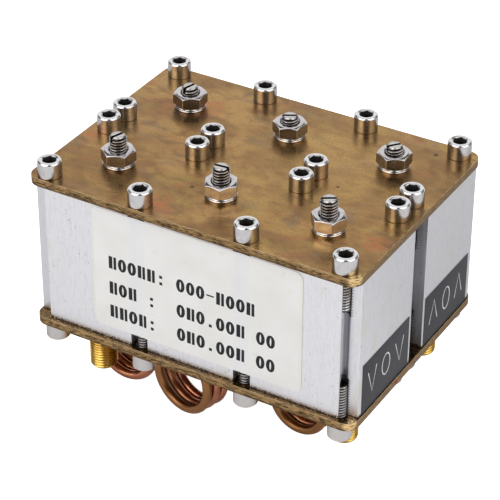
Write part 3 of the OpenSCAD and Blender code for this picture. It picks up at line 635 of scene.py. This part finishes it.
nut_plate = metal("nut_nickel", (0.60, 0.57, 0.575), (0.45, 0.42, 0.42), (0.12, 0.18), 0.9,
                  dents=0.05)
for node, band, i, (x, y) in by_cavity("lock_nut"):
    shape = placed(nut, (x, y, NUT_Z), NUT_TURN[band][i - 1])
    # Painted shade in the hole and its countersinks
    mesh = marked(meshed(node, [shape]),
                  lambda p: (NUT_BORE + 0.3 - off_axis(p, [(x, y)])) / 0.2)
    piece = finished(node + "_hex", mesh, nut_plate, replaced=[node])
    soften(piece, NUT_SOFT, segments=3)


# The tuning screws: M4 grub screws with a screwdriver slot, standing above their nuts and
# reaching down into the windings. Each one rides on its own sliding body.
TUNER_R, TUNER_LEN, TUNER_PITCH, TUNER_CUT, TUNER_SIDES = 1.95, 20.0, 0.7, 0.4, 40
SLOT_W, SLOT_DEPTH = 0.75, 1.1
PROUD = {"low": (3.5, 3.6, 3.9), "high": (1.6, 1.5, 1.75)}
SLOT_TURN = {"low": (71.0, 5.0, 32.0), "high": (75.0, 30.0, 51.0)}


def tuner_shade(radius, below):
    """Painted shade in the thread, which is the depth below the crest over 0.15, and a little
    painted shade on the rim of the slotted end."""
    return np.where(below > 0.2, (TUNER_R - 0.02 - radius) / 0.15, 0.3 * (radius > 1.4))


grub = turned([(0, -TUNER_LEN), *thread(-TUNER_LEN, 0.0, TUNER_R, TUNER_CUT, TUNER_PITCH, 0.45,
                                        TUNER_SIDES), (0, 0)], TUNER_SIDES)
saw = skin(np.array([[(x * 3, y * SLOT_W / 2, z) for x, y in SQUARE]
                     for z in (-SLOT_DEPTH, 1.0)]), around=True, caps=True)
blank, cut = (bpy.data.objects.new(name, meshed(name, [shape]))
              for name, shape in (("tuner_blank", grub), ("slot_cutter", saw)))
for helper in (blank, cut):
    scene.collection.objects.link(helper)
slot_cut = blank.modifiers.new("slot", "BOOLEAN")
slot_cut.operation = "DIFFERENCE"
slot_cut.object = cut
bpy.context.view_layer.update()
slotted = bpy.data.meshes.new_from_object(blank.evaluated_get(
    bpy.context.evaluated_depsgraph_get()))
points = np.zeros(len(slotted.vertices) * 3)
slotted.vertices.foreach_get("co", points)
tuner = (points.reshape(-1, 3) / MM, [list(p.vertices) for p in slotted.polygons])
for helper in (blank, cut):
    bpy.data.objects.remove(helper)

steel = metal("tuning_screw_nickel", (0.68, 0.66, 0.645), (0.40, 0.375, 0.355), (0.12, 0.22), 0.5,
              shade_and_tarnish_colour=(0.035, 0.024, 0.018), dents=0.1)
for node, band, i, (x, y) in by_cavity("tuning_screw"):
    tip = NUT_Z + NUT_H + PROUD[band][i - 1]
    shape = placed(tuner, (x, y, tip), SLOT_TURN[band][i - 1])
    # Painted shade in the thread, on the rim of the slotted end, and all over the slot
    mesh = marked(meshed(node, [shape]),
                  lambda p: tuner_shade(off_axis(p, [(x, y)]), tip - p[:, 2]),
                  hollow=lambda p: (off_axis(p, [(x, y)]) < 1) & (tip - p[:, 2] > 0.1))
    finished(node + "_thread", mesh, steel, body=node, replaced=[node])


# The resonators: silver plated copper wire wound in five turns, one standing on the
# bottom plate in each cavity.
X, Y, Z = np.eye(3)
WINDING_R, WIRE, WINDING_PITCH, TURNS, FOOT, FOOT_BEND = 6.9, 1.6, 3.6, 5, 4.6, 1.8


def rod(path, side, radius, corners):
    """A round wire along a path: at each point a ring of radius times (cos a across +
    sin a over), where across is the given side with its part along the path taken off."""
    along = np.gradient(path, axis=0)
    along /= np.linalg.norm(along, axis=1, keepdims=True)
    across = side - (side * along).sum(1, keepdims=True) * along
    across /= np.linalg.norm(across, axis=1, keepdims=True)
    over = np.cross(along, across)
    a = np.linspace(0, 2 * np.pi, corners, endpoint=False)[:, None, None]
    rings = path + radius * (np.cos(a) * across + np.sin(a) * over)
    return skin(rings.transpose(1, 0, 2), around=True, caps=True)


def bend(centre, across, rise, radius, first, last, count):
    """Points on part of a circle: the centre plus the radius times (cos a across + sin a
    rise), where a goes from the first angle to the last."""
    a = np.radians(np.linspace(first, last, count))[:, None]
    return np.array(centre) + radius * (np.cos(a) * across + np.sin(a) * rise)


spin = np.linspace(0, TURNS, TURNS * 48 + 1)
angle = np.pi + 2 * np.pi * spin
climb = np.stack([WINDING_R * np.cos(angle), WINDING_R * np.sin(angle),
                  FOOT + WINDING_PITCH * spin], axis=-1)
foot = bend((-WINDING_R, 0, FOOT - FOOT_BEND), -Y, Z, FOOT_BEND, 180, 100, 8)
path = np.vstack([foot[0] - [0, 0, FOOT - FOOT_BEND], foot, climb])
winding = rod(path, path * [1, 1, 0], WIRE / 2, 14)

silver = metal("plated_wire", (0.86, 0.80, 0.70), (0.66, 0.55, 0.42), (0.16, 0.3), 1.2)
for node, _, _, (x, y) in by_cavity("resonator"):
    shape = placed(winding, (x, y, BODY_Z[0]))
    finished(node + "_winding", meshed(node, [shape]), silver, replaced=[node])


# The coaxial lines: 2.2 mm copper tube with a wire inside, wound by hand over a bar and
# soldered into the bottom plate at both ends. The first turn of a band line is browner.
COAX_R, COAX_END, COAX_SIDES, HALF_TURNS, COIL_PITCH = 1.1, 20.8, 24, 5, 2.6
LEAD_BEND, LEAN, SHORT_OF_UPRIGHT, BROWN_END = 3.3, 40.0, 10.0, 0.62
# The X and Y where a coil starts, its mean radius, and the turn of its axis from Y towards X
COILS = {"line_1": (-14.1 + 7.3 * np.cos(np.radians(15)), -21.3, 7.3, 15.0),
         "line_2": (13.4 + 6.4 * np.cos(np.radians(8)), -14.9, 6.4, 8.0),
         "antenna": (-24.4, -17.3, 6.3, 0.0)}
ENTRY = {"line_1": -16.6, "line_2": 9.8}
ANTENNA_FAR, ANTENNA_RUN = 12.0, 13.7
spin = np.linspace(0, HALF_TURNS * np.pi, HALF_TURNS * 28 + 1)


def spokes(turn):
    """Directions from a coil's axis to its wire: (-cos t cos turn, cos t sin turn, -sin t).
    The left limb comes first, and then it goes down."""
    turn = np.radians(turn)
    return np.stack([-np.cos(spin) * np.cos(turn), np.cos(spin) * np.sin(turn), -np.sin(spin)],
                    axis=-1)


def coil(x, y, radius, turn):
    """The turns of a line: the start, plus one pitch along the axis in each turn, plus the
    radius times the spoke."""
    axis = np.array([np.sin(np.radians(turn)), np.cos(np.radians(turn)), 0])
    return (np.array([x, y, radius + COAX_R]) + COIL_PITCH / (2 * np.pi) * spin[:, None] * axis
            + radius * spokes(turn))


def band_line(entry, x, y, radius, turn):
    """A line of one band: from its first hole a lead leans to the right, hangs upright again
    and runs into the turns, and the last limb rises to its hole."""
    turns = coil(x, y, radius, turn)
    left, y, z = turns[0]
    lean = np.radians(LEAN)
    run = (left - entry - 2 * LEAD_BEND * (1 - np.cos(lean))) / np.sin(lean)
    elbow = z + 2 * LEAD_BEND * np.sin(lean) + run * np.cos(lean)
    lead = np.vstack([
        [[entry, y, COAX_END]],
        bend((entry + LEAD_BEND, y, elbow), X, Z, LEAD_BEND, 180, 180 + LEAN, 10),
        bend((left - LEAD_BEND, y, z), X, Z, LEAD_BEND, LEAN, SHORT_OF_UPRIGHT, 10)])
    end = turns[-1] * [1, 1, 0] + COAX_END * Z
    way = spokes(turn)
    sides = np.vstack([way[0] + 0 * lead, way, way[-1:]])
    return rod(np.vstack([lead, turns, [end]]), sides, COAX_R, COAX_SIDES)


def browned(points, name, side):
    """1 over the start of a band line, falling to 0 within half a pitch past the brown end.
    The way along the coil's axis is counted in pitches."""
    x, y, _, turn = COILS[name]
    turn = np.radians(turn)
    along = (points[:, 0] - x) * np.sin(turn) + (-side * points[:, 1] - y) * np.cos(turn)
    return 1 - (along / COIL_PITCH - BROWN_END) / 0.5


copper = metal("copper_coax", (0.49, 0.195, 0.105), (0.34, 0.135, 0.078), (0.2, 0.28), 4.5,
               shade_and_tarnish_colour=(0.28, 0.13, 0.053), wear=(0.36, 0.64), roughness_where_marked=0.1)
for name, entry in ENTRY.items():
    points, faces = band_line(entry, *COILS[name])
    for band, side in BANDS.items():
        mesh = meshed(f"{band}_{name}", [(points * [1, -side, 1], faces)])
        finished(f"{band}_{name}_tube", marked(mesh, lambda p: browned(p, name, side)), copper,
                 replaced=[f"{band}_{name}"])

turns = coil(*COILS["antenna"])
far_x, last_y = turns[-1][:2]
tail = np.vstack([
    bend((far_x, last_y + LEAD_BEND, ANTENNA_RUN - LEAD_BEND), Y, Z, LEAD_BEND, 180, 90, 14),
    bend((far_x, ANTENNA_FAR - LEAD_BEND, ANTENNA_RUN + LEAD_BEND), Y, Z, LEAD_BEND, 270, 360, 14),
    [[far_x, ANTENNA_FAR, COAX_END]]])
path = np.vstack([[turns[0] * [1, 1, 0] + COAX_END * Z], turns, tail])
way = spokes(0.0)
antenna = rod(path, np.vstack([way[:1], way, X + 0 * tail]), COAX_R, COAX_SIDES)
finished("antenna_line_tube", meshed("antenna_line", [antenna]), copper,
         replaced=["antenna_line"])


# The tap wires: the bare centre wires of the lines, bent over and soldered to the first
# turn of a winding.
TAP_R, SOLDER_GAP = 0.25, 0.2


def winding_z(angle):
    """Height of the winding's centre line in its first turn, in that direction: the foot
    plus the pitch times the share of a turn from the left."""
    return BODY_Z[0] + FOOT + WINDING_PITCH * ((np.degrees(angle) - 180 + 720) % 360) / 360


def tap(start, axis):
    """A straight wire from just above the end of a line towards the nearest point of the
    winding's centre line, and shorter by half the wire and the solder."""
    start = np.array(start, float)
    angle = np.arctan2(start[1] - axis[1], start[0] - axis[0])
    foot = start + SOLDER_GAP * Z
    head = np.array([axis[0] + WINDING_R * np.cos(angle), axis[1] + WINDING_R * np.sin(angle),
                     winding_z(angle)])
    span = np.linalg.norm(head - foot)
    head = foot + (head - foot) * (span - WIRE / 2 - SOLDER_GAP) / span
    path = foot + (head - foot) * np.linspace(0, 1, 4)[:, None]
    return rod(path, X + 0.1 * Y + 0 * path, TAP_R, 12)


tinned = metal("tinned_wire", (0.80, 0.77, 0.70), (0.55, 0.52, 0.46), (0.2, 0.34), 0.6)
tap_ends = {}
for name, entry in ENTRY.items():
    turns = coil(*COILS[name])
    first = 0 if name == "line_2" else -1
    for band, side in BANDS.items():
        tap_ends[f"{band}_{name}"] = [
            ((x, -side * y, COAX_END), (cavity * PITCH, side * BODY_Y))
            for x, y, cavity in ((entry, turns[0][1], first), (*turns[-1][:2], first + 1))]
turns = coil(*COILS["antenna"])
tap_ends["antenna_line"] = [((*turns[0][:2], COAX_END), (-PITCH, -BODY_Y)),
                            ((turns[-1][0], ANTENNA_FAR, COAX_END), (-PITCH, BODY_Y))]
for name, ends in tap_ends.items():
    finished(name + "_tap_wires", meshed(name, [tap(*end) for end in ends]), tinned,
             replaced=[name + "_taps"])


# The coaxial jacks: a gold plated barrel with a fine thread, soldered into the bottom
# plate, with a white plastic sleeve and a gold contact inside.
JACKS = {"antenna": ((-26.8, -23.0), (-PITCH, -BODY_Y)),
         "low": ((33.8, -19.0), (PITCH, -BODY_Y)), "high": ((33.8, 19.0), (PITCH, BODY_Y))}
JACK_R, JACK_PITCH, JACK_DEPTH, JACK_SIDES = 3.175, 0.7056, 0.36, 64
MOUTH_Z, MOUTH_FLOOR, MOUTH_BORE, JACK_BORE, SPIGOT_R, SPIGOT_Z = 7.6, 9.5, 2.3, 2.08, 2.6, 20.5
SLEEVE_R, SLEEVE_BORE, SLEEVE_EDGE = 2.05, 0.665, 0.06
PIN_R, PIN_BORE, PIN_TOP, PIN_EDGE, BORE_END, PIN_SIDES = 0.635, 0.46, 21.1, 0.06, 12.5, 32


def jack_thread_shade(radius, height):
    """Painted shade in the thread of a barrel: the depth below the crest over 0.3, outside only."""
    outside = (height < PLATE_Z) & (radius > 2.7)
    return np.where(outside, (JACK_R - 0.1 - radius) / 0.3, 0.0)


barrel = turned([
    (MOUTH_BORE, MOUTH_Z), (JACK_R - 0.55, MOUTH_Z),
    *thread(MOUTH_Z + 0.05, PLATE_Z, JACK_R, JACK_DEPTH, JACK_PITCH, 0.45, JACK_SIDES),
    (SPIGOT_R, PLATE_Z), (SPIGOT_R, SPIGOT_Z), (JACK_BORE, SPIGOT_Z), (JACK_BORE, MOUTH_FLOOR),
    (MOUTH_BORE, MOUTH_FLOOR), (MOUTH_BORE, MOUTH_Z)], JACK_SIDES)
sleeve = turned([
    (SLEEVE_BORE, MOUTH_FLOOR), (SLEEVE_R - SLEEVE_EDGE, MOUTH_FLOOR),
    (SLEEVE_R, MOUTH_FLOOR + SLEEVE_EDGE), (SLEEVE_R, SPIGOT_Z - SLEEVE_EDGE),
    (SLEEVE_R - SLEEVE_EDGE, SPIGOT_Z), (SLEEVE_BORE, SPIGOT_Z), (SLEEVE_BORE, MOUTH_FLOOR)], 48)
points, faces = turned([
    (PIN_BORE, BORE_END), (PIN_BORE, MOUTH_FLOOR + 0.04), (PIN_BORE + PIN_EDGE, MOUTH_FLOOR),
    (0.59, MOUTH_FLOOR), (PIN_R, MOUTH_FLOOR + PIN_EDGE), (PIN_R, PIN_TOP - PIN_EDGE),
    (0.6, PIN_TOP), (0, PIN_TOP)], PIN_SIDES)
# The contact's bore ends in a shallow cone
cone = [[i, i + 1, len(points)] for i in range(PIN_SIDES)]
pin = (np.vstack([points, [[0, 0, BORE_END - 0.2]]]), faces + cone)

gold = metal("gold_plate", (0.82, 0.52, 0.115), (0.62, 0.38, 0.085), (0.18, 0.3), 0.9,
             shade_and_tarnish_colour=(0.36, 0.20, 0.048))
plastic = Finish("white_sleeve", base_color=(0.86, 0.86, 0.83), roughness=0.45)
milled = plastic.grain(0.3, detail=3)
plastic.wear(plastic.blend(milled, (0.80, 0.80, 0.77), (0.90, 0.90, 0.87)),
             plastic.ease(milled, 0.3, 0.7, 0.38, 0.52))
plastic.bump(milled, 0.1, 0.02)
for jack, ((x, y), axis) in JACKS.items():
    at = (x, y, 0)
    # Painted shade in the outer thread of the barrel
    mesh = marked(meshed(jack + "_barrel", [placed(barrel, at)]),
                  lambda p: jack_thread_shade(off_axis(p, [(x, y)]), p[:, 2]))
    finished(jack + "_jack_barrel", mesh, gold, replaced=[jack + "_jack_shell"])
    finished(jack + "_jack_sleeve", meshed(jack + "_sleeve", [placed(sleeve, at)]), plastic,
             replaced=[jack + "_jack_insulator"])
    contact = meshed(jack + "_pin", [placed(pin, at), tap((x, y, PIN_TOP), axis)])
    finished(jack + "_jack_pin", contact, gold, replaced=[jack + "_jack_contact"])


# The front label: glossy off-white paper under film, with rounded corners, stuck on the
# low band body over its two front grooves, where it sinks in a little.
LABEL_X, LABEL_Z, LABEL_W, LABEL_H, LABEL_R, LABEL_T = 1.6, 38.6, 53.0, 30.8, 2.0, 0.12
GROOVE_HALF, SINK_DEPTH = 2.1, 0.10


def label_half_height(x):
    """Half the label's height at x: less by the corner circle within a radius of its ends."""
    into = np.clip(np.abs(x - LABEL_X) - (LABEL_W / 2 - LABEL_R), 0, LABEL_R)
    return LABEL_H / 2 - LABEL_R + np.sqrt(LABEL_R ** 2 - into ** 2)


def label_sink(x):
    """How far the label sinks into its two grooves: (1 - gap squared) squared, where gap is
    the distance from the nearer groove's middle over half its width."""
    gap = np.minimum(np.abs(x - PORT_X[0]), np.abs(x + PORT_X[0])) / GROOVE_HALF
    return SINK_DEPTH * np.clip(1 - gap ** 2, 0, 1) ** 2


ends = LABEL_R * (1 - np.cos(np.linspace(0, np.pi / 2, 9))) - LABEL_W / 2
straight = np.linspace(ends[-1], -ends[-1], 121)[1:-1]
columns = np.concatenate([ends, straight, -ends[::-1]]) + LABEL_X
rise = np.linspace(-1, 1, 13)
loop = np.concatenate([rise, rise[::-1]])
front = np.repeat([1.0, 0.0], len(rise))
x = columns[:, None] + 0 * loop
y = label_sink(x) - BODY_FACE - LABEL_T * front
z = LABEL_Z + loop * label_half_height(x)
paper_shape = skin(np.stack([x, y, z], axis=-1), around=True, caps=True)

paper = Finish("paper_label", roughness=0.3, coat_weight=0.4, coat_roughness=0.12)
cloudy = paper.grain(9, detail=4, shift=2.0)
aged = paper.grain(3.0, detail=4, shift=5.0)
paper.tone = paper.blend(paper.ease(cloudy, 0.3, 0.7), (0.775, 0.765, 0.74),
                         (0.825, 0.815, 0.80))
paper.coat(paper.ease(aged, 0.62, 0.78, 0.0, 0.5), (0.72, 0.69, 0.60))
across = paper.axis("X")
# Painted shade in two upright bands, where the label sinks into the grooves
from_groove = paper.apart(paper.maths("ABSOLUTE", across), PORT_X[0])
paper.coat(paper.ease(from_groove, 1.4, 2.2, 0.45, 0.0), (0.76, 0.76, 0.80))
from_side = paper.maths("SUBTRACT", LABEL_W / 2, paper.apart(across, LABEL_X))
paper.coat(paper.ease(from_side, 0.0, 0.9, 0.5, 0.0), (0.74, 0.70, 0.57))
paper.wear(paper.tone)
paper.bump(cloudy, 0.2, 0.05)
finished("front_label_paper", meshed("front_label", [paper_shape]), paper,
         replaced=["front_label"])


def stroke(path, width):
    """A flat mark along a path of two columns: five rows of points, spread over its width
    to either side of the path."""
    along = np.gradient(path, axis=0)
    across = np.stack([-along[:, 1], along[:, 0]], axis=-1)
    across /= np.linalg.norm(across, axis=1, keepdims=True)
    return path + across * width * np.linspace(0.5, -0.5, 5)[:, None, None]


# The print is plain shapes in three rows: two bars (|), a ring (o), dots (: and .) and a dash (-)
PRINT = {40.65: "|oo||: ooo-|oo|", 34.0: "|o| :  o|o.oo| oo", 27.75: "||o|:  o|o.oo| oo"}
CELL, PRINT_X, TALL, WIDE, DOT, LIFT = 2.505, -19.6, 3.2, 1.95, 0.75, 0.012
turn_round = np.linspace(0, 2 * np.pi, 33)


def dot(z):
    """A square dot at a height."""
    return stroke(np.array([(-DOT / 2, z), (DOT / 2, z)]), DOT)


def bar(x, width):
    """An upright bar as tall as the print."""
    return stroke(np.array([(x, -TALL / 2), (x, TALL / 2)]), width)


# The ring is an ellipse, thicker at its sides
ellipse = np.stack([np.cos(turn_round) * (WIDE / 2 - 0.33), np.sin(turn_round) * (TALL / 2 - 0.2)],
                   axis=-1)
ring = stroke(ellipse, 0.5 + 0.36 * np.abs(np.cos(turn_round))[:, None])
dash = stroke(np.array([(-0.95, 0), (0.95, 0)]), 0.35)
SHAPES = {"|": [bar(-0.5, 0.95), bar(0.62, 0.7)], "o": [ring], ":": [dot(-1.2), dot(0.5)],
          ".": [dot(-1.2)], "-": [dash], " ": []}
marks = []
for z, row in PRINT.items():
    for k, sign in enumerate(row):
        for flat in SHAPES[sign]:
            x = flat[..., 0] + PRINT_X + CELL * k
            y = label_sink(x) - BODY_FACE - LABEL_T - LIFT
            marks.append(skin(np.stack([x, y, flat[..., 1] + z], axis=-1)))
ink = Finish("label_ink", roughness=0.45)
ink.shader.inputs["Specular IOR Level"].default_value = 0.25
patchy = ink.grain(0.35, detail=3)
ink.wear(ink.blend(ink.ease(patchy, 0.5, 0.8), (0.008, 0.008, 0.011), (0.024, 0.024, 0.03)),
         ink.ease(patchy, 0.3, 0.7, 0.35, 0.55))
finished("front_label_print", meshed("front_print", marks), ink)


# The end labels: dark grey film with a thin bare rim and a hand drawn pale mark, one on
# the right end of each body, standing on the bottom plate.
END_X, END_W, END_H, END_T, END_Z, END_RIM = 40.8, 21.5, 12.8, 0.12, 26.45, 0.04
END_Y = {"low": -14.2, "high": 15.1}
CHALK_W, CHALK_LIFT, CHALK_Z = 0.32, 0.008, END_Z + 0.5


def slab(centre, half, rim):
    """A flat plate that faces +X: four corners at the back, four in front of them, and four
    more that are drawn in by the rim and stand out by half of it."""
    layers = ((0, 0), (END_T - rim / 2, 0), (END_T, rim))
    points = np.array([[(centre[0] + out, centre[1] + cy * (half[0] - inset),
                         centre[2] + cz * (half[1] - inset)) for cy, cz in SQUARE]
                       for out, inset in layers])
    return skin(points, around=True, caps=True)


film = Finish("dark_label", roughness=0.6)
film.shader.inputs["Specular IOR Level"].default_value = 0.2
dusty = film.grain(2.0, detail=5)
film.wear(film.blend(film.ease(dusty, 0.35, 0.7), (0.050, 0.049, 0.058), (0.066, 0.065, 0.075)),
          film.ease(dusty, 0.3, 0.7, 0.5, 0.62))
film.bump(dusty, 0.15, 0.02)
chalk = Finish("label_chalk", roughness=0.6)
thin = chalk.grain(0.4, detail=3)
chalk.wear(chalk.blend(chalk.ease(thin, 0.45, 0.8), (0.80, 0.80, 0.80), (0.40, 0.40, 0.41)))

# Two chevrons with a ring between them, which point down on the low band's label
loop = np.stack([np.sin(turn_round) * 1.75, np.cos(turn_round) * 2.75], axis=-1)
hand = np.random.default_rng(11)
for band, side in BANDS.items():
    node = band + "_band_label"
    shape = slab((END_X, END_Y[band], END_Z), (END_W / 2, END_H / 2), END_RIM)
    finished(node + "_film", meshed(node, [shape]), film, replaced=[node])
    paths = [np.array([(x - 1.9, -1.1), (x, 1.3), (x + 1.9, -1.1)]) * [1, 2.4 * side]
             for x in (-6.3, 6.3)]
    paths = [path + hand.uniform(-0.15, 0.15, path.shape) for path in paths]
    paths.append(loop * hand.uniform(0.94, 1.06, 2))
    marks = []
    for flat in (stroke(path, CHALK_W) for path in paths):
        x = END_X + END_T + CHALK_LIFT + 0 * flat[..., 0]
        y = END_Y[band] + flat[..., 0]
        marks.append(skin(np.stack([x, y, CHALK_Z + flat[..., 1]], axis=-1)))
    finished(node + "_marks", meshed(node + "_marks", marks), chalk)
